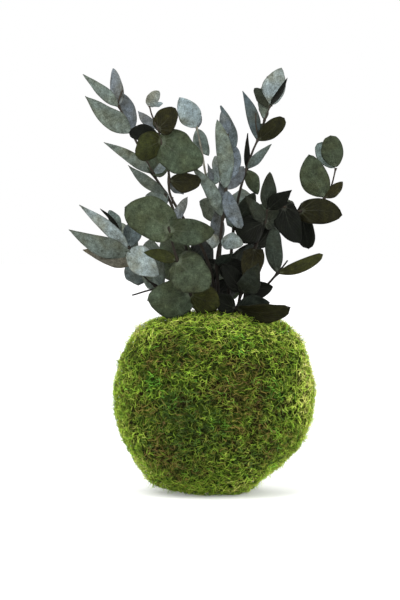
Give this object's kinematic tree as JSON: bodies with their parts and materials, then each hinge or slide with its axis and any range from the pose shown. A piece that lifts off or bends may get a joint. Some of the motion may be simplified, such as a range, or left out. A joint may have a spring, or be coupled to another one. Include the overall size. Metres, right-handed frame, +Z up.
{
  "type": "kokedama moss ball plant",
  "caption": "Soil ball wrapped in shaggy green moss, planted with upright sprigs of grey-green rounded leaves, standing on its own flat spot.",
  "frame": {"origin": "centre of the flat spot that the moss ball rests on", "axes": "+Z up along the stems, -Y towards the front, +X to the right seen from the front"},
  "size_m": [0.1877, 0.1342, 0.2921],
  "materials": {
    "leaf_deep": "matte preserved leaf, near-black green",
    "leaf_dusty": "matte preserved leaf, grey-green with a dusty bloom",
    "leaf_sage": "matte preserved leaf, grey sage green",
    "leaf_silver": "matte preserved leaf, palest, chalky blue-grey",
    "leaf_slate": "matte preserved leaf, dark slate green",
    "leaf_taupe": "matte preserved leaf, grey-brown",
    "leaf_teal": "matte preserved leaf, dark grey teal",
    "leaf_umber": "matte preserved leaf, dark olive brown",
    "leaf_violet": "matte preserved leaf, slate grey with a violet cast",
    "moss": "dry sheet moss, shaggy and fully matte",
    "soil": "dry packed soil and fibre, rough",
    "stem": "thin dark bark, matte"
  },
  "bodies": {
    "root": {"leaves_far_left_1": "leaf_dusty", "leaves_far_left_2": "leaf_dusty", "leaves_far_left_3": "leaf_dusty", "leaves_far_left_4": "leaf_dusty", "leaves_far_left_5": "leaf_sage", "leaves_far_right_1": "leaf_sage", "leaves_far_right_2": "leaf_sage", "leaves_far_right_3": "leaf_umber", "leaves_far_right_4": "leaf_deep", "leaves_far_right_5": "leaf_dusty", "leaves_front_left_1": "leaf_sage", "leaves_front_left_2": "leaf_sage", "leaves_front_left_3": "leaf_sage", "leaves_front_right_1": "leaf_teal", "leaves_front_right_2": "leaf_umber", "leaves_left_tall_1": "leaf_silver", "leaves_left_tall_2": "leaf_umber", "leaves_left_tall_3": "leaf_sage", "leaves_left_tall_4": "leaf_umber", "leaves_low_left_1": "leaf_dusty", "leaves_low_left_2": "leaf_silver", "leaves_low_left_3": "leaf_dusty", "leaves_low_left_4": "leaf_taupe", "leaves_low_left_5": "leaf_dusty", "leaves_low_right_1": "leaf_teal", "leaves_middle_1": "leaf_violet", "leaves_middle_2": "leaf_slate", "leaves_middle_3": "leaf_violet", "leaves_middle_4": "leaf_violet", "leaves_middle_5": "leaf_dusty", "leaves_middle_6": "leaf_silver", "leaves_middle_7": "leaf_deep", "leaves_middle_back_1": "leaf_silver", "leaves_middle_back_2": "leaf_violet", "leaves_middle_back_3": "leaf_deep", "leaves_middle_back_4": "leaf_dusty", "leaves_right_inner_1": "leaf_teal", "leaves_right_inner_2": "leaf_deep", "leaves_right_inner_3": "leaf_deep", "leaves_right_tall_1": "leaf_silver", "leaves_right_tall_2": "leaf_dusty", "leaves_right_tall_3": "leaf_slate", "leaves_right_tall_4": "leaf_dusty", "leaves_right_tall_5": "leaf_teal", "leaves_right_tall_6": "leaf_teal", "moss_coat": "moss", "soil_ball": "soil", "stem_bare_twig": "stem", "stem_far_left": "stem", "stem_far_right": "stem", "stem_front_left": "stem", "stem_front_right": "stem", "stem_left_tall": "stem", "stem_low_left": "stem", "stem_low_right": "stem", "stem_middle": "stem", "stem_middle_back": "stem", "stem_right_inner": "stem", "stem_right_tall": "stem"}
  },
  "joints": []
}
